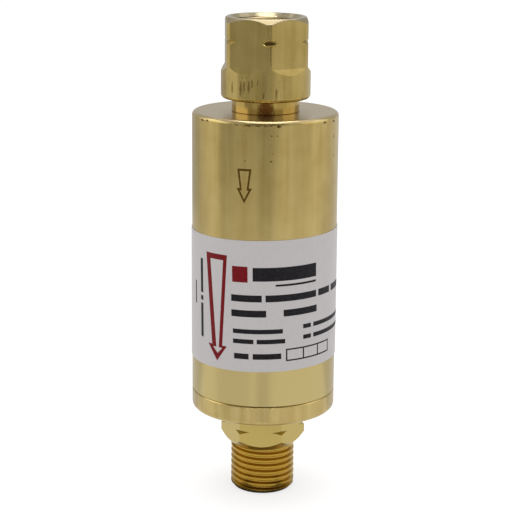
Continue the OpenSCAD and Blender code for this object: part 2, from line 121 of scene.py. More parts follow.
class Flow:
    """A value that leaves a node's socket. Arithmetic on it adds Math nodes to the same tree."""

    def __init__(self, graph: "Graph", socket: Optional[bpy.types.NodeSocket]) -> None:
        """Keeps the tree and the socket."""
        self.graph = graph
        self.socket = socket

    def __getitem__(self, name: str) -> "Flow":
        """Another output of the same node."""
        return Flow(self.graph, self.graph.pick(self.socket.node.outputs, name))

    def __add__(self, other: Value) -> "Flow":
        """This value plus another."""
        return self.graph.math("ADD", self, other)

    __radd__ = __add__

    def __sub__(self, other: Value) -> "Flow":
        """This value less another."""
        return self.graph.math("SUBTRACT", self, other)

    def __rsub__(self, other: Value) -> "Flow":
        """Another value less this one."""
        return self.graph.math("SUBTRACT", other, self)

    def __mul__(self, other: Value) -> "Flow":
        """This value times another."""
        return self.graph.math("MULTIPLY", self, other)

    __rmul__ = __mul__

    def __truediv__(self, other: Value) -> "Flow":
        """This value over another."""
        return self.graph.math("DIVIDE", self, other)

    def __neg__(self) -> "Flow":
        """This value with its sign turned."""
        return self.graph.math("MULTIPLY", self, -1.0)

    def at_least(self, other: Value) -> "Flow":
        """The higher of this value and another."""
        return self.graph.math("MAXIMUM", self, other)

    def sine(self) -> "Flow":
        """The sine of this angle."""
        return self.graph.math("SINE", self)

    def cosine(self) -> "Flow":
        """The cosine of this angle."""
        return self.graph.math("COSINE", self)

    def rise(self, low: Value, high: Value) -> "Flow":
        """A soft step from 0 at low to 1 at high."""
        span = {"Value": self, "From Min": low, "From Max": high, "To Min": 0.0, "To Max": 1.0}
        return self.graph.node("ShaderNodeMapRange", {"interpolation_type": "SMOOTHSTEP"}, span)


class Graph:
    """A node tree that is being built."""

    def __init__(self, tree: bpy.types.NodeTree) -> None:
        """Keeps the tree."""
        self.tree = tree

    @staticmethod
    def pick(sockets: Sequence[bpy.types.NodeSocket], key: Union[str, int]) -> bpy.types.NodeSocket:
        """Finds a socket in use by its name or its place.

        Args:
            sockets: a node's inputs or outputs.
            key: the socket's name, or its place in the row.

        Returns:
            The socket.
        """
        if isinstance(key, int):
            return sockets[key]
        return next(socket for socket in sockets if socket.enabled and socket.name == key)

    def node(
        self,
        kind: str,
        settings: Optional[dict[str, Any]] = None,
        inputs: Optional[dict[Union[str, int], Any]] = None,
    ) -> Flow:
        """Adds one node, with its settings first and then what its sockets hold.

        Args:
            kind: the node's type.
            settings: the node's own settings.
            inputs: a value or a flow for each socket that is set.

        Returns:
            The node's first output in use.
        """
        made = self.tree.nodes.new(kind)
        for name, setting in (settings or {}).items():
            setattr(made, name, setting)
        for key, value in (inputs or {}).items():
            socket = self.pick(made.inputs, key)
            if isinstance(value, Flow):
                self.tree.links.new(value.socket, socket)
            elif socket.type == "RGBA":
                socket.default_value = (*value, 1.0)
            else:
                socket.default_value = value
        used = [socket for socket in made.outputs if socket.enabled]
        return Flow(self, used[0] if used else None)

    def math(self, operation: str, *values: Value) -> Flow:
        """One Math node on these values."""
        return self.node("ShaderNodeMath", {"operation": operation}, dict(enumerate(values)))

    def mix(self, share: Value, first: Any, second: Any) -> Flow:
        """Two colours, mixed by the share of the second."""
        sockets = {"Factor": share, "A": first, "B": second}
        return self.node("ShaderNodeMix", {"data_type": "RGBA"}, sockets)

    def vector(self, x: Value, y: Value, z: Value) -> Flow:
        """A vector of three values."""
        return self.node("ShaderNodeCombineXYZ", inputs={"X": x, "Y": y, "Z": z})

    def noise(self, place: Flow, size: float, detail: float = 2.0) -> Flow:
        """Soft noise in space, from about 0.25 to 0.75, in patches of a size with finer layers on them."""
        sockets = {"Vector": place, "Scale": 1.0 / size, "Detail": detail}
        return self.node("ShaderNodeTexNoise", {"noise_dimensions": "3D"}, sockets)

    def lines(self, along: Flow, pitch: float) -> Flow:
        """Noise along one distance, such as the lines that a turning tool leaves at a pitch."""
        sockets = {"W": along, "Scale": 1.0 / pitch, "Detail": 2.0}
        return self.node("ShaderNodeTexNoise", {"noise_dimensions": "1D"}, sockets)

    def relief(self, height: Flow, normal: Optional[Flow] = None) -> Flow:
        """Lifts a surface.

        Args:
            height: how far, in millimetres.
            normal: the way the surface faces, where that isn't the mesh's own.

        Returns:
            The way the lifted surface faces.
        """
        sockets = {"Strength": 1.0, "Distance": MM, "Height": height}
        if normal is not None:
            sockets["Normal"] = normal
        return self.node("ShaderNodeBump", inputs=sockets)


class Place:
    """Where a point of the surface lies on the part, in millimetres."""

    def __init__(self, graph: Graph) -> None:
        """Reads the object's own coordinates.

        Args:
            graph: the material's tree.
        """
        metres = graph.node("ShaderNodeTexCoord")["Object"]
        scale = {"Vector": metres, "Scale": 1.0 / MM}
        self.graph = graph
        self.at = graph.node("ShaderNodeVectorMath", {"operation": "SCALE"}, scale)
        split = graph.node("ShaderNodeSeparateXYZ", inputs={"Vector": self.at})
        self.x = split["X"]
        self.y = split["Y"]
        self.z = split["Z"]

    def radius(self) -> Flow:
        """The distance from the part's axis."""
        return self.graph.math("SQRT", self.x * self.x + self.y * self.y)

    def turn(self) -> Flow:
        """The angle round the axis from the front, to the right, in radians."""
        return self.graph.math("ARCTAN2", self.x, -self.y)

    def drawn_out(self, squeeze: float) -> Flow:
        """The place with its height squeezed, so that patches stretch along the axis."""
        return self.graph.vector(self.x, self.y, self.z * squeeze)


def make_material(name: str, surface: Callable[[Graph], Flow]) -> bpy.types.Material:
    """Makes a material.

    Args:
        name: its name.
        surface: what builds its shader in an empty tree.

    Returns:
        The material with its nodes.
    """
    material = bpy.data.materials.new(name)
    material.use_nodes = True
    material.node_tree.nodes.clear()
    graph = Graph(material.node_tree)
    graph.node("ShaderNodeOutputMaterial", inputs={"Surface": surface(graph)})
    return material


@dataclass(frozen=True)
class Finish:
    """A surface finish, from which a material is made."""

    name: str

    def build(self) -> bpy.types.Material:
        """Makes the material of this finish."""
        return make_material(self.name, self.shade)

    def shade(self, graph: Graph) -> Flow:
        """Builds the shader from what this finish puts into its sockets."""
        return graph.node("ShaderNodeBsdfPrincipled", inputs=self.sockets(Place(graph)))

    def sockets(self, place: Place) -> dict[str, Any]:
        """What the shader's sockets hold at a place."""
        raise NotImplementedError


@dataclass(frozen=True)
class Layer:
    """What lies over brass in places, or light and shade painted on it: a colour, how much of it shows,
    more roughness and a dent.
    """

    colour: Colour = srgb(92, 68, 28)
    amount: float = 1.0
    rough: float = 0.0
    dent: float = 0.0

    def share(self, place: Place) -> Flow:
        """How far it covers a place, from 0 to 1."""
        raise NotImplementedError


@dataclass(frozen=True)
class Tint(Layer):
    """A tone that takes over along the axis, from one height to another.

    With a lean, the heights count along a cone: that much higher for each millimetre away from the axis.
    """

    none_at: float = 0.0
    full_at: float = 1.0
    lean: float = 0.0

    def share(self, place: Place) -> Flow:
        """How far it covers a place, from 0 to 1."""
        height = place.z + place.radius() * self.lean if self.lean else place.z
        return ((height - self.none_at) / (self.full_at - self.none_at)).rise(0.0, 1.0)


@dataclass(frozen=True)
class Scuffs(Layer):
    """Faint marks along the axis, in a band that begins and ends softly."""

    amount: float = 0.24
    rough: float = 0.12
    begin: Point = (0.0, 1.0)
    end: Point = (2.0, 3.0)
    size: float = 0.9
    squeeze: float = 0.22
    blend: Point = (0.54, 0.68)

    def share(self, place: Place) -> Flow:
        """How far they cover a place, from 0 to 1."""
        marks = place.graph.noise(place.drawn_out(self.squeeze), self.size, detail=3.0).rise(*self.blend)
        return marks * place.z.rise(*self.begin) * (1.0 - place.z.rise(*self.end))


@dataclass(frozen=True)
class PaintedBoreShade(Layer):
    """Painted shade on the dull wall of a bore, out to a radius with a soft end."""

    amount: float = 0.85
    rough: float = 0.2
    radius: float = 1.0
    soft: float = 0.15

    def share(self, place: Place) -> Flow:
        """How far it covers a place, from 0 to 1."""
        return 1.0 - place.radius().rise(self.radius - self.soft, self.radius + self.soft)


@dataclass(frozen=True)
class WearAndShadeSpot:
    """A small dent or dark speck on a round wall, or a patch of painted shade: its angle from the front,
    height and half sizes.
    """

    turn_deg: float
    height: float
    half_width: float
    half_height: float


@dataclass(frozen=True)
class WearAndShadeSpots(Layer):
    """The nicks of a round wall, and patches of painted shade, with ragged edges."""

    amount: float = 0.92
    rough: float = 0.2
    dent: float = 0.05
    wall_r: float = 16.0
    grain: float = 0.3
    ragged: float = 2.4
    blend: Point = (0.3, 1.0)
    spots: tuple[WearAndShadeSpot, ...] = ()

    def share(self, place: Place) -> Flow:
        """Where the nicks and the patches of painted shade are.

        Args:
            place: the surface's place.

        Returns:
            1 in a nick or patch and 0 elsewhere.
        """
        arc = place.turn() * self.wall_r
        ragged = (place.graph.noise(place.at, self.grain) - NOISE_MIDDLE) * self.ragged
        found: Value = 0.0
        for spot in self.spots:
            across = (arc - math.radians(spot.turn_deg) * self.wall_r) / spot.half_width
            up = (place.z - spot.height) / spot.half_height
            inside = 1.0 - (across * across + up * up + ragged).rise(*self.blend)
            found = inside.at_least(found)
        return found


@dataclass(frozen=True)
class TurnedBrass(Finish):
    """Brass as the lathe left it: fine rings, soft streaks along the axis, and layers of wear and of
    painted light and shade.
    """

    bright: Colour = srgb(192, 170, 108)
    deep: Colour = srgb(178, 154, 91)
    roughness: float = 0.24
    uneven: float = 0.05
    ring_pitch: float = 0.16
    ring_depth: float = 0.0011
    streak_width: float = 2.0
    streak_squeeze: float = 0.04
    streak_share: float = 0.6
    patch: float = 4.5
    blend: Point = (0.36, 0.64)
    edge: float = 0.1
    edge_samples: int = 4
    layers: tuple[Layer, ...] = ()

    def sockets(self, place: Place) -> dict[str, Any]:
        """Builds the brass and lays its layers over it.

        Args:
            place: the surface's place.

        Returns:
            What each socket of the shader holds.
        """
        graph = place.graph
        rings = graph.lines(place.z + place.radius(), self.ring_pitch)
        streaks = graph.noise(place.drawn_out(self.streak_squeeze), self.streak_width, detail=3.0)
        patches = graph.noise(place.at, self.patch, detail=5.0)
        tone = streaks * self.streak_share + patches * (1.0 - self.streak_share)
        colour = graph.mix(tone.rise(*self.blend), self.deep, self.bright)
        rough = self.roughness + (streaks + rings - 2 * NOISE_MIDDLE) * self.uneven
        height = rings * self.ring_depth
        for layer in self.layers:
            share = layer.share(place)
            colour = graph.mix(share * layer.amount, colour, layer.colour)
            rough = rough + share * layer.rough
            if layer.dent:
                height = height - share * layer.dent
        samples = {"samples": self.edge_samples}
        rounded = graph.node("ShaderNodeBevel", samples, {"Radius": self.edge * MM})
        return {
            "Base Color": colour,
            "Metallic": 1.0,
            "Roughness": rough,
            "Normal": graph.relief(height, rounded),
        }


@dataclass(frozen=True)
class Sintered(Finish):
    """Porous sintered metal: fused grains with dark pores between them."""

    grain: Colour = srgb(150, 150, 152)
    pore: Colour = srgb(48, 47, 47)
    grain_size: float = 0.3
    grain_height: float = 0.08
    blend: Point = (0.25, 0.75)
    roughness: float = 0.45
    pore_rough: float = 0.3

    def sockets(self, place: Place) -> dict[str, Any]:
        """Builds the grains.

        Args:
            place: the surface's place.

        Returns:
            What each socket of the shader holds.
        """
        graph = place.graph
        cells = {"Vector": place.at, "Scale": 1.0 / self.grain_size}
        gap = graph.node("ShaderNodeTexVoronoi", {"feature": "F1"}, cells).rise(*self.blend)
        return {
            "Base Color": graph.mix(gap, self.grain, self.pore),
            "Metallic": 1.0,
            "Roughness": self.roughness + gap * self.pore_rough,
            "Normal": graph.relief((1.0 - gap) * self.grain_height),
        }


@dataclass(frozen=True)
class Mottled(Finish):
    """Two tones in soft patches with uneven gloss, and a fine skin where that has a depth."""

    light: Colour = srgb(200, 200, 200)
    dark: Colour = srgb(180, 180, 180)
    patch: float = 1.0
    squeeze: float = 1.0
    detail: float = 3.0
    blend: Point = (0.35, 0.65)
    metallic: float = 0.0
    roughness: float = 0.5
    uneven: float = 0.2
    coat: float = 0.0
    specular: float = 0.5
    skin: float = 1.0
    skin_depth: float = 0.0

    def sockets(self, place: Place) -> dict[str, Any]:
        """Builds the patches and the skin.

        Args:
            place: the surface's place.

        Returns:
            What each socket of the shader holds.
        """
        graph = place.graph
        patches = graph.noise(place.drawn_out(self.squeeze), self.patch, self.detail)
        sockets = {
            "Base Color": graph.mix(patches.rise(*self.blend), self.dark, self.light),
            "Metallic": self.metallic,
            "Roughness": self.roughness + (patches - NOISE_MIDDLE) * self.uneven,
            "Coat Weight": self.coat,
            "Specular IOR Level": self.specular,
        }
        if self.skin_depth:
            sockets["Normal"] = graph.relief(graph.noise(place.at, self.skin) * self.skin_depth)
        return sockets


@dataclass(frozen=True)
class EtchedBrass(Mottled):
    """The burnt line of an etched mark on brass."""

    light: Colour = srgb(112, 84, 26)
    dark: Colour = srgb(82, 58, 10)
    patch: float = 0.25
    blend: Point = (0.4, 0.65)
    metallic: float = 0.9
    roughness: float = 0.52


@dataclass(frozen=True)
class DrawnSteel(Mottled):
    """Spring wire with a slight grey film."""

    light: Colour = srgb(186, 188, 192)
    dark: Colour = srgb(140, 142, 148)
    patch: float = 1.2
    detail: float = 4.0
    metallic: float = 1.0
    roughness: float = 0.325
    uneven: float = 0.25


@dataclass(frozen=True)
class SealRubber(Mottled):
    """Smooth moulded rubber."""

    light: Colour = srgb(44, 44, 46)
    dark: Colour = srgb(30, 30, 32)
    patch: float = 1.5
    skin: float = 0.18
    skin_depth: float = 0.006


@dataclass(frozen=True)
class DullSolder(Mottled):
    """Solder as it was cast."""

    light: Colour = srgb(150, 152, 156)
    dark: Colour = srgb(116, 118, 124)
    patch: float = 1.8
    metallic: float = 1.0
    roughness: float = 0.42
    skin: float = 0.216
    skin_depth: float = 0.01


@dataclass(frozen=True)
class GasketFibre(Mottled):
    """Pressed fibre."""

    light: Colour = srgb(190, 184, 170)
    dark: Colour = srgb(160, 154, 140)
    patch: float = 0.9
    roughness: float = 0.8
    skin: float = 0.108
    skin_depth: float = 0.02


@dataclass(frozen=True)
class LabelFilm(Mottled):
    """Satin plastic film with a faint grey-lilac tone and a slight orange-peel skin."""

    light: Colour = srgb(216, 211, 210)
    dark: Colour = srgb(213, 208, 208)
    patch: float = 0.5
    squeeze: float = 0.4
    roughness: float = 0.34
    uneven: float = 0.05
    coat: float = 0.15
    skin: float = 0.5
    skin_depth: float = 0.003


@dataclass(frozen=True)
class PrintInk(Mottled):
    """Ink printed on the film, a little uneven."""

    patch: float = 0.6
    blend: Point = (0.4, 0.75)
    roughness: float = 0.42
    uneven: float = 0.12
    specular: float = 0.15


class ShapeTree:
    """A Geometry Nodes tree with named inputs, run on an object and turned into a plain mesh."""

    def __init__(self, name: str) -> None:
        """Starts an empty tree.

        Args:
            name: the tree's name.
        """
        self.tree = bpy.data.node_groups.new(name, "GeometryNodeTree")
        self.graph = Graph(self.tree)
        self.source = self.tree.nodes.new("NodeGroupInput")
        self.identifiers: dict[str, str] = {}
        self.takes("Geometry", "NodeSocketGeometry")
        self.material = self.takes("Material", "NodeSocketMaterial")

    def takes(self, name: str, kind: str = "NodeSocketFloat") -> Flow:
        """Adds a named input.

        Args:
            name: the input's name.
            kind: the type of its socket.

        Returns:
            The value that comes in there.
        """
        item = self.tree.interface.new_socket(name, in_out="INPUT", socket_type=kind)
        self.identifiers[name] = item.identifier
        return Flow(self.graph, self.graph.pick(self.source.outputs, name))

    def gives(self, geometry: Flow) -> None:
        """Ends the tree with real, painted geometry.

        Args:
            geometry: the shape that the tree makes.
        """
        whole = self.graph.node("GeometryNodeRealizeInstances", inputs={"Geometry": geometry})
        painted = {"Geometry": whole, "Material": self.material}
        self.tree.interface.new_socket("Geometry", in_out="OUTPUT", socket_type="NodeSocketGeometry")
        end = self.graph.node("GeometryNodeSetMaterial", inputs=painted)
        self.graph.node("NodeGroupOutput", inputs={"Geometry": end})

    def run(self, piece: bpy.types.Object, values: dict[str, Any]) -> None:
        """Runs the tree on a piece, which keeps the plain result.

        Args:
            piece: the object that takes the shape.
            values: what each named input holds.
        """
        modifier = piece.modifiers.new(self.tree.name, "NODES")
        modifier.node_group = self.tree
        for name, value in values.items():
            modifier[self.identifiers[name]] = value
        settle(piece)


def add_piece(name: str, mesh: Optional[bpy.types.Mesh] = None) -> bpy.types.Object:
    """Adds an object at the origin.

    Args:
        name: the piece's name.
        mesh: its mesh, or nothing for an empty one.

    Returns:
        The object.
    """
    piece = bpy.data.objects.new(name, mesh or bpy.data.meshes.new(name))
    bpy.context.scene.collection.objects.link(piece)
    return piece


def settle(piece: bpy.types.Object) -> None:
    """Turns what a piece's modifiers make into its own plain mesh.

    Args:
        piece: the object to settle.
    """
    depsgraph = bpy.context.evaluated_depsgraph_get()
    made = piece.evaluated_get(depsgraph)
    mesh = bpy.data.meshes.new_from_object(made, preserve_all_data_layers=True, depsgraph=depsgraph)
    mesh.name = piece.name
    piece.modifiers.clear()
    piece.data = mesh


def merge_doubles(mesh: bpy.types.Mesh, apart: float, turn_out: bool = False) -> None:
    """Merges a closed mesh's doubles.

    Args:
        mesh: the mesh to mend.
        apart: how far apart doubles may lie.
        turn_out: whether its faces are turned outwards as well.
    """
    shape = bmesh.new()
    shape.from_mesh(mesh)
    bmesh.ops.remove_doubles(shape, verts=shape.verts, dist=apart * MM)
    if turn_out:
        bmesh.ops.recalc_face_normals(shape, faces=shape.faces)
    shape.to_mesh(mesh)
    shape.free()


def merged_copy(node: str, name: str) -> bpy.types.Object:
    """Copies a solid of the frame as one closed mesh.

    Args:
        node: the solid's name in the frame.
        name: the new piece's name.

    Returns:
        The copy.
    """
    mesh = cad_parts[node].data.copy()
    mesh.name = name
    normals = mesh.attributes.get("custom_normal")
    if normals is not None:
        mesh.attributes.remove(normals)
    merge_doubles(mesh, NEARER)
    return add_piece(name, mesh)


def shade_by_angle(
    piece: bpy.types.Object, material: bpy.types.Material, crease_deg: float = 24.0
) -> None:
    """Gives a piece one material, smooth walls and crisp edges.

    Args:
        piece: the object to shade.
        material: its material.
        crease_deg: the angle from which an edge stays crisp.
    """
    mesh = piece.data
    mesh.materials.clear()
    mesh.materials.append(material)
    for face in mesh.polygons:
        face.material_index = 0
        face.use_smooth = True
    mesh.set_sharp_from_angle(angle=math.radians(crease_deg))
    weighted = piece.modifiers.new("even_normals", "WEIGHTED_NORMAL")
    weighted.keep_sharp = True
    settle(piece)


def dress(nodes: Sequence[str], finish: Finish) -> None:
    """Gives solids of the frame a finish.

    Args:
        nodes: the names of the solids.
        finish: their finish.
    """
    material = finish.build()
    for node in nodes:
        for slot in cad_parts[node].material_slots:
            slot.material = material
        LOG.info("dressed %s in %s", node, finish.name)


def join_frame(piece: bpy.types.Object, body: Body, node: Optional[str] = None) -> None:
    """Hands a piece to the frame.

    Args:
        piece: the finished piece.
        body: the body that it rides on.
        node: the solid that it replaces, if any.
    """
    if node is not None:
        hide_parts(node)
    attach(piece, body.value)
    LOG.info("built %s, %d faces", piece.name, len(piece.data.polygons))


@dataclass(frozen=True)
class Thread:
    """A thread to be cut with a tool that follows a helix and runs out at its far end."""

    radius: float
    depth: float
    start: float
    turns: float
    wall: Wall
    pitch: float = INCH / 18
    hand: Hand = Hand.LEFT
    mouth_share: float = 0.9
    root_share: float = 0.2
    clear: float = 0.3
    run_out_turns: float = 0.35
    steps: int = 96

    @staticmethod
    def tree() -> ShapeTree:
        """Builds the tree that sweeps a groove's section along a helix.

        Returns:
            The tree.
        """
        shape = ShapeTree("thread_tool")
        graph = shape.graph
        names = ("Radius", "Pitch", "Turns", "Start", "Hand", "Way", "Depth", "Mouth", "Root", "Clear")
        radius, pitch, turns, start, hand, way, depth, mouth, root, clear = map(shape.takes, names)
        run_out = shape.takes("Run Out")
        count = shape.takes("Points", "NodeSocketInt")
        line = graph.node("GeometryNodeCurvePrimitiveLine", inputs={"End": (0.0, 0.0, 1.0)})
        spread = {"Curve": line, "Count": count}
        points = graph.node("GeometryNodeResampleCurve", {"mode": "COUNT"}, spread)
        share = graph.node("GeometryNodeSplineParameter")["Factor"]
        turned = share * turns
        leave = (turned - (turns - run_out)).rise(0.0, run_out)
        away = radius - way * leave * (depth + clear)
        angle = turned * hand * math.tau
        spot = graph.vector(away * angle.cosine(), away * angle.sine(), start + turned * pitch)
        helix = graph.node("GeometryNodeSetPosition", inputs={"Geometry": points, "Position": spot})
        upright = graph.node("GeometryNodeSetCurveNormal", {"mode": "Z_UP"}, {"Curve": helix})
        inner = hand * way * depth
        outer = -(hand * way * clear)
        corners = {
            "Point 1": graph.vector(outer, mouth * -0.5, 0.0),
            "Point 2": graph.vector(outer, mouth * 0.5, 0.0),
            "Point 3": graph.vector(inner, root * 0.5, 0.0),
            "Point 4": graph.vector(inner, root * -0.5, 0.0),
        }
        section = graph.node("GeometryNodeCurvePrimitiveQuadrilateral", {"mode": "POINTS"}, corners)
        sweep = {"Curve": upright, "Profile Curve": section, "Fill Caps": True}
        shape.gives(graph.node("GeometryNodeCurveToMesh", inputs=sweep))
        return shape

    def cut(self, piece: bpy.types.Object, tree: ShapeTree, material: bpy.types.Material) -> None:
        """Cuts the thread into a piece.

        Args:
            piece: the piece, a closed mesh.
            tree: the tree that makes the tool.
            material: the piece's material.
        """
        tool = add_piece(piece.name + "_tool")
        sizes = {
            "Radius": self.radius * MM,
            "Pitch": self.pitch * MM,
            "Turns": self.turns,
            "Start": self.start * MM,
            "Hand": float(self.hand.value),
            "Way": float(self.wall.value),
            "Depth": self.depth * MM,
            "Mouth": self.pitch * self.mouth_share * MM,
            "Root": self.pitch * self.root_share * MM,
            "Clear": self.clear * MM,
            "Run Out": self.run_out_turns,
            "Points": int(self.turns * self.steps) + 1,
            "Material": material,
        }
        tree.run(tool, sizes)
        merge_doubles(tool.data, NEAR, turn_out=True)
        cutter = piece.modifiers.new("thread", "BOOLEAN")
        cutter.operation = "DIFFERENCE"
        cutter.solver = "EXACT"
        cutter.object = tool
        settle(piece)
        bpy.data.objects.remove(tool)


def rectangle(left: float, right: float, low: float, high: float) -> tuple[Point, Point, Point, Point]:
    """The corners of a rectangle, counterclockwise."""
    return (left, low), (right, low), (right, high), (left, high)


@dataclass(frozen=True)
class PrintPlace:
    """Where a print lies: the wall's radius, how far it stands out, its thickness, height and tilt."""

    wall_r: float
    lift: float
    depth: float
    height: float = 0.0
    tilt_deg: float = 0.0


class FlatPrint:
    """Flat printed shapes on the unrolled wall: across to the right, and up."""

    def __init__(self, name: str, step: float = 0.5) -> None:
        """Starts with an empty sheet.

        Args:
            name: the piece's name.
            step: the longest stretch that stays straight when the print is wrapped round.
        """
        self.name = name
        self.step = step
        self.shape = bmesh.new()

    def strip(self, low: Sequence[Point], high: Sequence[Point]) -> None:
        """Adds a ribbon between a lower and an upper edge, in short stretches.

        Args:
            low: the two ends of the lower edge, from left to right.
            high: the two ends of the upper edge, from left to right.
        """
        first, second = Vector(low[0]), Vector(low[1])
        third, fourth = Vector(high[0]), Vector(high[1])
        count = max(1, math.ceil((second - first).length / self.step))
        lanes = max(1, math.ceil((third - first).length / self.step))
        rows = []
        for index in range(count + 1):
            below, above = first.lerp(second, index / count), third.lerp(fourth, index / count)
            spots = [below.lerp(above, lane / lanes) for lane in range(lanes + 1)]
            rows.append([self.shape.verts.new((*spot, 0.0)) for spot in spots])
        for here, there in zip(rows, rows[1:]):
            for a, b, c, d in zip(here, there, there[1:], here[1:]):
                self.shape.faces.new((a, b, c, d))

    def bar(self, left: float, right: float, low: float, high: float) -> None:
        """Adds an upright rectangle."""
        self.strip([(left, low), (right, low)], [(left, high), (right, high)])

    def frame(self, left: float, right: float, low: float, high: float, stroke: float) -> None:
        """Adds the outline of a rectangle.

        Args:
            left: its left side.
            right: its right side.
            low: its lower side.
            high: its upper side.
            stroke: the width of its line, which lies inside it.
        """
        inner = rectangle(left + stroke, right - stroke, low + stroke, high - stroke)
        self.band(rectangle(left, right, low, high), inner)

    def band(self, outer: Sequence[Point], inner: Sequence[Point]) -> None:
        """Adds the ribbon between two polygons with as many corners.

        Args:
            outer: the outer polygon's corners, counterclockwise.
            inner: the inner polygon's corners, in the same order.
        """
        count = len(outer)
        for index in range(count):
            after = (index + 1) % count
            self.strip([outer[index], outer[after]], [inner[index], inner[after]])

    def wrap(self, tree: ShapeTree, place: PrintPlace, material: bpy.types.Material) -> bpy.types.Object:
        """Wraps the sheet round the wall as a thin closed layer.

        Args:
            tree: the tree that wraps a sheet.
            place: where it lies on the wall.
            material: its material.

        Returns:
            The piece.
        """
        bmesh.ops.remove_doubles(self.shape, verts=self.shape.verts, dist=NEAR)
        bmesh.ops.scale(self.shape, vec=(MM, MM, MM), verts=self.shape.verts)
        piece = add_piece(self.name)
        self.shape.to_mesh(piece.data)
        self.shape.free()
        sizes = {
            "Radius": (place.wall_r + place.lift - place.depth) * MM,
            "Thickness": place.depth * MM,
            "Centre Height": place.height * MM,
            "Tilt": math.radians(place.tilt_deg),
            "Material": material,
        }
        tree.run(piece, sizes)
        return piece


def wrapping_tree() -> ShapeTree:
    """Builds the tree that wraps a flat sheet round the body as a thin closed layer.

    Returns:
        The tree.
    """
    shape = ShapeTree("wrapped_print")
    graph = shape.graph
    sheet = Flow(graph, graph.pick(shape.source.outputs, "Geometry"))
    radius, thickness, centre, tilt = map(shape.takes, ("Radius", "Thickness", "Centre Height", "Tilt"))
    raised = graph.node(
        "GeometryNodeExtrudeMesh",
        {"mode": "FACES"},
        {"Mesh": sheet, "Offset": (0.0, 0.0, 1.0), "Offset Scale": thickness, "Individual": False},
    )
    base = graph.node("GeometryNodeFlipFaces", inputs={"Mesh": sheet})
    layer = graph.node("GeometryNodeJoinGeometry")
    join = layer.socket.node.inputs[0]
    graph.tree.links.new(raised.socket, join)
    graph.tree.links.new(base.socket, join)
    closed = graph.node("GeometryNodeMergeByDistance", inputs={"Geometry": layer, "Distance": NEARER * MM})
    flat = graph.node("GeometryNodeInputPosition")
    split = graph.node("ShaderNodeSeparateXYZ", inputs={"Vector": flat})
    across, up, out = split["X"], split["Y"], split["Z"]
    arc = across * tilt.cosine() - up * tilt.sine()
    angle = arc / radius
    away = radius + out
    height = centre + up * tilt.cosine() + radius * angle.sine() * tilt.sine()
    spot = graph.vector(away * angle.sine(), -(away * angle.cosine()), height)
    shape.gives(graph.node("GeometryNodeSetPosition", inputs={"Geometry": closed, "Position": spot}))
    return shape


@dataclass(frozen=True)
class FlowArrow:
    """An arrow that points down along the gas way, as a line between two outlines.

    Each outline holds its tip's height, then half widths and heights at the barbs, the neck and the top.
    """

    centre: float
    outer: tuple[float, Point, Point, Point]
    inner: tuple[float, Point, Point, Point]
    inner_shift: float = 0.0

    @staticmethod
    def corners(outline: tuple[float, Point, Point, Point], centre: float) -> list[Point]:
        """The corners of one outline, counterclockwise from its tip.

        Args:
            outline: the outer or the inner outline.
            centre: its middle on the unrolled wall.

        Returns:
            The corners on the unrolled wall.
        """
        tip, *right = outline
        left = [(-across, up) for across, up in reversed(right)]
        return [(centre + across, up) for across, up in [(0.0, tip), *right, *left]]

    def draw(self, sheet: FlatPrint) -> None:
        """Adds the arrow to a flat print."""
        inner = self.corners(self.inner, self.centre + self.inner_shift)
        sheet.band(self.corners(self.outer, self.centre), inner)


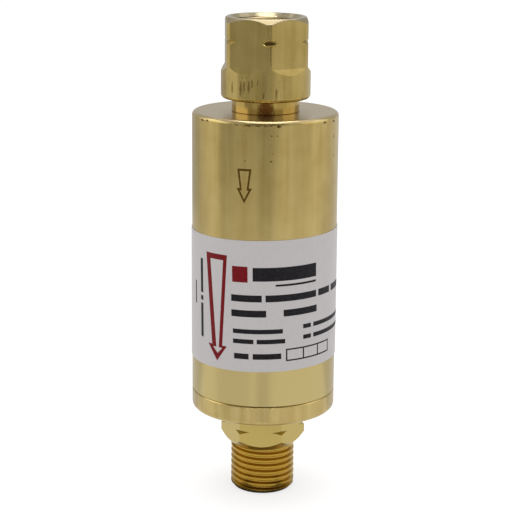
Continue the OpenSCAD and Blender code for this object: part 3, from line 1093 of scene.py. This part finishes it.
@dataclass
class Housing:
    """The turned shell with its etched flow mark, and the nipple on top of it."""

    painted_sheen_tints: tuple[Tint, ...] = (
        # painted reflection of the bright floor: the shell grows paler towards its foot
        Tint(srgb(188, 170, 116), none_at=84.0, full_at=24.0),
        # painted sheen: the top face and the rim's rounding are paler, as at a grazing angle
        Tint(srgb(190, 170, 127), none_at=85.85, full_at=86.25),
    )
    nicks: WearAndShadeSpots = WearAndShadeSpots(
        wall_r=16.0,
        spots=(
            WearAndShadeSpot(-57.0, 85.6, 0.75, 0.3),
            WearAndShadeSpot(-50.5, 85.7, 0.5, 0.24),
            WearAndShadeSpot(-22.0, 85.65, 0.75, 0.18),
            WearAndShadeSpot(-13.0, 85.6, 1.2, 0.22),
            WearAndShadeSpot(-6.0, 85.55, 0.7, 0.18),
            WearAndShadeSpot(0.5, 85.6, 0.8, 0.22),
            WearAndShadeSpot(4.0, 85.65, 0.7, 0.24),
            WearAndShadeSpot(10.0, 85.55, 0.75, 0.42),
            WearAndShadeSpot(52.0, 85.5, 0.7, 0.26),
            WearAndShadeSpot(66.0, 85.3, 0.7, 0.3),
            WearAndShadeSpot(4.5, 78.15, 0.3, 0.3),
            WearAndShadeSpot(4.7, 83.5, 0.2, 0.2),
            WearAndShadeSpot(9.2, 83.5, 0.17, 0.17),
            WearAndShadeSpot(4.8, 81.6, 0.16, 0.16),
            WearAndShadeSpot(5.2, 79.8, 0.17, 0.17),
            WearAndShadeSpot(-15.2, 78.1, 0.17, 0.17),
            WearAndShadeSpot(66.5, 82.0, 0.2, 0.42),
            WearAndShadeSpot(67.0, 77.8, 0.18, 0.32),
        ),
    )
    neck_bright: Colour = srgb(190, 162, 93)
    neck_deep: Colour = srgb(176, 147, 78)
    neck_roughness: float = 0.14
    # painted dark reflection: a brown patch on the front of the neck
    painted_dark_reflection: WearAndShadeSpots = WearAndShadeSpots(srgb(116, 54, 14), amount=0.76, wall_r=7.4, spots=(WearAndShadeSpot(0.5, 87.7, 1.8, 2.6),))
    etching: PrintPlace = PrintPlace(wall_r=16.0, lift=0.004, depth=0.03)
    flow_mark: FlowArrow = FlowArrow(
        -4.4,
        (69.0, (1.68, 72.25), (0.98, 72.25), (1.56, 76.4)),
        (69.85, (0.95, 71.75), (0.52, 71.75), (1.06, 75.92)),
    )

    def build(self, wrap: ShapeTree) -> None:
        """Dresses the shell and the nipple, and etches the flow mark.

        Args:
            wrap: the tree that wraps a flat sheet round the body.
        """
        dress(["housing_shell"], TurnedBrass("body_brass", layers=(*self.painted_sheen_tints, self.nicks)))
        tones = (self.neck_bright, self.neck_deep, self.neck_roughness)
        dress(["inlet_nipple"], TurnedBrass("nipple_brass", *tones, layers=(self.painted_dark_reflection,)))
        mark = FlatPrint("flow_mark")
        self.flow_mark.draw(mark)
        piece = mark.wrap(wrap, self.etching, EtchedBrass("etched_line").build())
        join_frame(piece, Body.HOUSING)


@dataclass
class ThreadedPiece:
    """A turned piece whose thread is cut into a copy of its solid."""

    node: str
    body: Body
    finish: TurnedBrass
    thread: Thread

    def build(self, tool: ShapeTree) -> None:
        """Cuts the thread into a copy of the solid and dresses it.

        Args:
            tool: the tree that makes thread tools.
        """
        material = self.finish.build()
        piece = merged_copy(self.node, self.node + "_threaded")
        self.thread.cut(piece, tool, material)
        shade_by_angle(piece, material)
        join_frame(piece, self.body, self.node)


@dataclass
class OutletCap(ThreadedPiece):
    """The cap with its wrench hexagon and the male outlet thread."""

    node: str = "outlet_cap"
    body: Body = Body.HOUSING
    finish: TurnedBrass = TurnedBrass(
        "cap_brass",
        bright=srgb(192, 172, 115),
        deep=srgb(178, 156, 99),
        edge=0.08,
        layers=(
            Tint(srgb(184, 163, 95), none_at=19.6, full_at=19.3),
            Tint(srgb(175, 140, 57), none_at=10.8, full_at=10.4),
            # painted shade: darker towards the foot, where the end stands on the floor
            Tint(srgb(70, 54, 26), none_at=1.2, full_at=-0.4),
        ),
    )
    thread: Thread = Thread(radius=7.144, depth=0.62, start=-1.67, turns=8.7, wall=Wall.OUTSIDE)


@dataclass
class SwivelNut(ThreadedPiece):
    """The inlet nut with its milled flats, its marked collar and the female thread."""

    node: str = "swivel_nut"
    body: Body = Body.NUT
    finish: TurnedBrass = TurnedBrass(
        "nut_brass",
        bright=srgb(186, 164, 101),
        deep=srgb(172, 149, 85),
        ring_depth=0.0006,
        layers=(
            # painted shade: a darker, greyer top chamfer, which tones down its highlight
            Tint(srgb(152, 138, 106), rough=0.12, none_at=113.5, full_at=113.65, lean=0.8),
            # painted highlight: a pale cream top land and mouth
            Tint(srgb(182, 170, 138), rough=-0.06, none_at=97.9, full_at=98.3, lean=-1.0),
            Scuffs(begin=(89.3, 90.1), end=(94.5, 95.3)),
            # painted shade inside the bore, whose wall is also dull
            PaintedBoreShade(radius=7.0),
            WearAndShadeSpots(
                amount=0.68,
                wall_r=9.75,
                spots=(
                    WearAndShadeSpot(-47.0, 92.2, 0.22, 1.6),
                    WearAndShadeSpot(-33.0, 92.4, 0.36, 2.2),
                    WearAndShadeSpot(-27.8, 92.7, 0.32, 2.0),
                    WearAndShadeSpot(-21.4, 92.8, 0.34, 1.8),
                    WearAndShadeSpot(-17.3, 93.4, 0.28, 1.3),
                    WearAndShadeSpot(-10.0, 93.7, 0.18, 0.9),
                    WearAndShadeSpot(-2.8, 90.9, 0.3, 0.8),
                    WearAndShadeSpot(13.0, 91.6, 0.16, 1.2),
                    WearAndShadeSpot(5.6, 100.4, 0.13, 4.6),
                    # painted shade in the front notch
                    WearAndShadeSpot(5.6, 101.95, 1.6, 0.85),
                ),
            ),
        ),
    )
    thread: Thread = Thread(radius=6.5, depth=0.64, start=98.1, turns=6.9, wall=Wall.INSIDE)


@dataclass
class Label:
    """The film label with its flow arrow and plain printed bars."""

    place: PrintPlace = PrintPlace(wall_r=16.15, lift=0.01, depth=0.05, height=46.45, tilt_deg=1.1)
    red: PrintInk = PrintInk("red_ink", srgb(136, 12, 22), srgb(122, 4, 14))
    black: PrintInk = PrintInk("dark_ink", srgb(40, 37, 41), srgb(24, 21, 25))
    arrow: FlowArrow = FlowArrow(
        -11.05,
        (-12.85, (2.6, -9.3), (1.42, -9.3), (2.95, 11.05)),
        (-11.15, (1.3, -9.8), (0.34, -9.8), (1.8, 9.85)),
        inner_shift=0.15,
    )
    badge: tuple[float, float, float, float] = (-6.9, -3.4, 5.4, 8.9)
    single_bars: tuple[tuple[float, float, float, float], ...] = (
        (-2.3, 12.5, 5.7, 8.7),
        (2.6, 12.4, 4.5, 4.95),
        (-16.3, -15.4, 1.6, 9.2),
        (-16.3, -15.4, -0.1, 0.9),
        (-16.3, -15.4, -8.4, -0.8),
        (-18.9, -18.4, -1.4, 3.7),
    )
    rows: tuple[tuple[float, float, tuple[Point, ...]], ...] = (
        (1.86, 1.5, ((-7.2, -0.4), (0.4, 12.5), (13.2, 17.4), (18.3, 27.5))),
        (-1.5, 1.5, ((-7.2, 0.5), (4.3, 12.7))),
        (-5.5, 1.0, ((-6.9, 4.1),)),
        (-5.0, 0.95, ((8.9, 11.0), (11.7, 24.5))),
        (-7.75, 1.0, ((-6.9, -2.3), (-1.6, 4.6))),
        (-7.4, 0.95, ((8.9, 11.0), (11.7, 24.5))),
        (-11.1, 1.25, ((-6.7, -3.4), (-2.5, 3.7))),
    )
    boxes: tuple[float, ...] = (4.75, 8.8, 12.85, 16.7)
    box_low: float = -12.35
    box_high: float = -9.55
    box_stroke: float = 0.32

    def bars(self) -> FlatPrint:
        """Lays out the dark print: plain bars and three empty boxes.

        Returns:
            The flat print.
        """
        dark = FlatPrint("label_bars")
        for bar in self.single_bars:
            dark.bar(*bar)
        for middle, height, words in self.rows:
            for left, right in words:
                dark.bar(left, right, middle - height / 2, middle + height / 2)
        for left, right in zip(self.boxes, self.boxes[1:]):
            dark.frame(left, right + self.box_stroke, self.box_low, self.box_high, self.box_stroke)
        return dark

    def build(self, wrap: ShapeTree) -> None:
        """Dresses the film and prints on it.

        Args:
            wrap: the tree that wraps a flat sheet round the body.
        """
        dress(["label_wrap"], LabelFilm("label_film"))
        arrow = FlatPrint("label_arrow")
        self.arrow.draw(arrow)
        arrow.bar(*self.badge)
        for sheet, ink in ((arrow, self.red), (self.bars(), self.black)):
            piece = sheet.wrap(wrap, self.place, ink.build())
            join_frame(piece, Body.HOUSING)


@dataclass
class Inside:
    """The valves, springs, seals and the flame element inside the shell."""

    brass: tuple[str, ...] = (
        "strainer_ring", "valve_body", "check_poppet", "check_guide", "cutoff_seat", "cutoff_piston",
        "cutoff_holder", "element_support",
    )
    seals: tuple[str, ...] = (
        "nipple_o_ring", "valve_body_o_ring", "poppet_seal", "cutoff_seal", "cap_o_ring",
    )
    wire: tuple[str, ...] = ("nut_retaining_ring", "cutoff_spring")
    spring_foot: float = 69.0
    spring_length: float = 5.5
    spring_travel: float = 1.5
    spring_crease_deg: float = 40.0

    def build(self) -> None:
        """Dresses every inner solid."""
        dress(self.brass, TurnedBrass("inner_brass", srgb(180, 150, 84), srgb(164, 132, 68), edge=0.05))
        dress(self.wire, DrawnSteel("spring_steel"))
        self.build_check_spring(DrawnSteel("check_spring_steel"))
        dress(["flame_element"], Sintered("sintered_steel"))
        dress(["inlet_strainer"], Sintered("sintered_bronze", srgb(176, 138, 92), srgb(58, 40, 24)))
        dress(self.seals, SealRubber("seal_rubber"))
        dress(["fusible_ring"], DullSolder("solder"))
        dress(["element_gasket"], GasketFibre("gasket_fibre"))

    def build_check_spring(self, finish: Finish) -> None:
        """Makes the check valve's spring.

        Args:
            finish: the wire's finish.
        """
        piece = merged_copy("check_spring", "check_spring_coil")
        shade_by_angle(piece, finish.build(), self.spring_crease_deg)
        join_frame(piece, Body.HOUSING, "check_spring")
        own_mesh(piece)


def plain_mesh(name: str, corners: Sequence[Point3], faces: Sequence[Sequence[int]]) -> bpy.types.Mesh:
    """Makes a mesh.

    Args:
        name: its name.
        corners: its corners, in metres.
        faces: the corners of each face.

    Returns:
        The mesh.
    """
    mesh = bpy.data.meshes.new(name)
    mesh.from_pydata(corners, [], faces)
    return mesh


def level_mesh(name: str, corners: Sequence[Point], height_m: float) -> bpy.types.Mesh:
    """Makes a level mesh with four corners."""
    return plain_mesh(name, [(x, y, height_m) for x, y in corners], [(0, 1, 2, 3)])


@dataclass(frozen=True)
class Card:
    """A plain upright card that only reflections see: its angles from the front and its brightness."""

    start_deg: float
    end_deg: float
    shade: float
    distance_m: float = 0.3
    low_m: float = 0.0
    high_m: float = 0.1
    steps: int = 24

    def mesh(self, name: str) -> bpy.types.Mesh:
        """Bends the card round the part.

        Args:
            name: the mesh's name.

        Returns:
            The mesh.
        """
        corners = []
        for step in range(self.steps + 1):
            angle = math.radians(self.start_deg + (self.end_deg - self.start_deg) * (step / self.steps))
            x, y = self.distance_m * math.sin(angle), -self.distance_m * math.cos(angle)
            corners += [(x, y, self.low_m), (x, y, self.high_m)]
        faces = [(at, at + 2, at + 3, at + 1) for at in range(0, 2 * self.steps, 2)]
        return plain_mesh(name, corners, faces)


@dataclass(frozen=True)
class Sheet:
    """A plain level card that only reflections see: its corners, its height and its brightness."""

    corners: tuple[Point, Point, Point, Point]
    height_m: float
    shade: float

    @classmethod
    def box(cls, left: float, right: float, front: float, back: float, *rest: float) -> "Sheet":
        """A sheet with square corners, between its sides. Its height and its brightness are the rest."""
        return cls(rectangle(left, right, front, back), *rest)

    def mesh(self, name: str) -> bpy.types.Mesh:
        """Lays the sheet level."""
        return level_mesh(name, self.corners, self.height_m)


@dataclass
class Studio:
    """A pale floor, a soft lamp and plain cards round the part."""

    floor_m: float = 4.0
    floor_gap_m: float = 0.00002
    floor_pale: Colour = (0.36, 0.36, 0.36)
    floor_glow: float = 0.7
    floor_gloss: float = 0.64
    ambient: float = 0.88
    cards: tuple[Card, ...] = (
        Card(-74.0, -46.0, 0.42),
        Card(-46.0, 22.0, 0.53),
        Card(-10.0, 9.0, 0.44, distance_m=0.29),
        Card(22.0, 36.0, 0.85),
        Card(36.0, 74.0, 0.72),
        Card(74.0, 118.0, 0.88),
        Card(-118.0, -74.0, 0.84),
        Card(118.0, 180.0, 0.78),
        Card(180.0, 242.0, 0.54),
        Card(-28.0, 30.0, 0.14, low_m=0.1, high_m=0.36),
        Card(-62.0, -28.0, 0.55, low_m=0.1, high_m=0.36),
        Card(-118.0, -62.0, 1.6, low_m=0.1, high_m=0.36),
        Card(30.0, 62.0, 0.6, low_m=0.1, high_m=0.36),
        Card(62.0, 118.0, 1.3, low_m=0.1, high_m=0.36),
        Card(118.0, 242.0, 0.57, low_m=0.1, high_m=0.36),
        Card(-113.0, -92.0, 2.4, distance_m=0.25, low_m=0.22, high_m=0.32),
        Card(92.0, 113.0, 1.9, distance_m=0.25, low_m=0.22, high_m=0.32),
    )
    sheets: tuple[Sheet, ...] = (
        Sheet.box(-0.6, 0.6, -0.6, 0.6, 0.52, 0.6),
        Sheet.box(-0.13, 0.14, -0.14, -0.06, 0.5, 5.8),
        Sheet.box(-0.12, 0.13, -0.06, -0.004, 0.5, 3.2),
        Sheet.box(-0.13, 0.14, 0.09, 0.205, 0.5, 7.6),
        Sheet.box(0.2, 0.45, -0.3, 0.3, 0.5, 1.0),
        Sheet.box(-0.45, -0.2, -0.3, 0.1, 0.5, 0.42),
        Sheet.box(-0.6, 0.6, 0.21, 0.6, 0.505, 1.0),
        Sheet.box(-0.3, 0.3, 0.03, 0.3, 0.0002, 0.75),
        Sheet(((-0.05, -0.28), (0.05, -0.28), (0.014, -0.085), (-0.014, -0.085)), 0.0002, 0.86),
        Sheet(((-0.014, -0.085), (0.014, -0.085), (0.01, -0.06), (-0.01, -0.06)), 0.0002, 0.7),
        Sheet(((-0.269, -0.077), (-0.096, -0.263), (-0.017, -0.047), (-0.048, -0.014)), 0.00015, 0.9),
        # a dark sheet under the foot that only reflections see: a painted contact shadow
        Sheet.box(-0.0095, 0.0095, -0.0095, 0.0095, 0.00001, 0.1),
    )
    lamp_at: Point3 = (0.0, 0.12, 1.0)
    lamp_side_m: float = 0.8
    lamp_watts: float = 3.2

    def build_world(self) -> None:
        """Makes the world: white to look at, and an even soft light."""
        world = bpy.data.worlds.new("studio")
        world.use_nodes = True
        world.node_tree.nodes.clear()
        graph = Graph(world.node_tree)
        path = graph.node("ShaderNodeLightPath")
        seen = path["Is Camera Ray"].at_least(path["Is Glossy Ray"]).at_least(path["Is Transmission Ray"])
        strength = self.ambient + seen * (1.0 - self.ambient)
        light = graph.node("ShaderNodeBackground", inputs={"Color": WHITE, "Strength": strength})
        graph.node("ShaderNodeOutputWorld", inputs={"Surface": light})
        bpy.context.scene.world = world

    def floor_surface(self, graph: Graph) -> Flow:
        """Builds the floor's shader: matt for the shadow, with a glow to the camera and to reflections.

        Args:
            graph: the material's tree.

        Returns:
            The shader.
        """
        pale = graph.node("ShaderNodeBsdfDiffuse", inputs={"Color": self.floor_pale})
        path = graph.node("ShaderNodeLightPath")
        glow = path["Is Camera Ray"] * self.floor_glow + path["Is Glossy Ray"] * self.floor_gloss
        white = graph.node("ShaderNodeEmission", inputs={"Color": WHITE, "Strength": glow})
        return graph.node("ShaderNodeAddShader", inputs={0: pale, 1: white})

    def build_floor(self) -> None:
        """Makes the pale floor, which keeps the part's shadow."""
        half = self.floor_m / 2
        low = CAD_BOX[0][2] - self.floor_gap_m
        mesh = level_mesh("floor", rectangle(-half, half, -half, half), low)
        mesh.materials.append(make_material("floor", self.floor_surface))
        add_piece("floor", mesh)

    @staticmethod
    def show_to_reflections(mesh: bpy.types.Mesh, shade: float) -> None:
        """Adds a plain glowing card that the part mirrors and nothing else sees.

        Args:
            mesh: the card's mesh.
            shade: its brightness.
        """
        glow = {"Color": WHITE, "Strength": shade}
        material = make_material(mesh.name, lambda graph: graph.node("ShaderNodeEmission", inputs=glow))
        mesh.materials.append(material)
        piece = add_piece(mesh.name, mesh)
        piece.visible_camera = False
        piece.visible_diffuse = False
        piece.visible_shadow = False
        piece.visible_transmission = False

    def build_lamp(self) -> None:
        """Hangs a soft lamp, which faces the foot of the part."""
        lamp = bpy.data.lights.new("top_box", "AREA")
        lamp.shape = "RECTANGLE"
        lamp.size = lamp.size_y = self.lamp_side_m
        lamp.energy = self.lamp_watts
        holder = bpy.data.objects.new("top_box", lamp)
        place = Vector(self.lamp_at)
        holder.matrix_world = Matrix.LocRotScale(place, (-place).to_track_quat("-Z", "Y"), None)
        bpy.context.scene.collection.objects.link(holder)

    def build(self) -> None:
        """Sets up the whole studio."""
        bpy.context.scene.view_settings.view_transform = "Standard"
        self.build_world()
        self.build_floor()
        for kind, row in (("card", self.cards), ("sheet", self.sheets)):
            for number, card in enumerate(row):
                self.show_to_reflections(card.mesh(f"{kind}_{number}"), card.shade)
        self.build_lamp()


@dataclass(frozen=True)
class PhotoCamera:
    """The camera at the photograph's viewing angle."""

    distance: float = 348.8
    height: float = 140.3
    pitch_deg: float = 13.93
    roll_deg: float = 0.52
    lens: float = 113.53
    sensor: float = 36.0
    axis_px: float = 264.2
    clip_start_m: float = 0.01

    def build(self) -> None:
        """Places the camera in front of the part, a little above it."""
        lens = bpy.data.cameras.new("photo_camera")
        lens.sensor_width = self.sensor
        lens.lens = self.lens
        lens.shift_x = (IMAGE_PX / 2 - self.axis_px) / IMAGE_PX
        lens.clip_start = self.clip_start_m
        holder = bpy.data.objects.new("photo_camera", lens)
        pitch, roll = math.radians(self.pitch_deg), math.radians(self.roll_deg)
        level = Vector((1.0, 0.0, 0.0))
        upright = Vector((0.0, math.sin(pitch), math.cos(pitch)))
        right = level * math.cos(roll) + upright * math.sin(roll)
        top = upright * math.cos(roll) - level * math.sin(roll)
        turn = Matrix((right, top, right.cross(top))).transposed()
        place = Vector((0.0, -self.distance * MM, self.height * MM))
        holder.matrix_world = Matrix.LocRotScale(place, turn.to_quaternion(), None)
        bpy.context.scene.collection.objects.link(holder)
        bpy.context.scene.camera = holder


def main() -> None:
    """Builds the camera, the studio and every sub-assembly in order."""
    logging.basicConfig(level=logging.INFO, format="%(name)s: %(message)s")
    PhotoCamera().build()
    Studio().build()
    wrap = wrapping_tree()
    tool = Thread.tree()
    Housing().build(wrap)
    OutletCap().build(tool)
    SwivelNut().build(tool)
    Label().build(wrap)
    Inside().build()


if __name__ == "__main__":
    main()
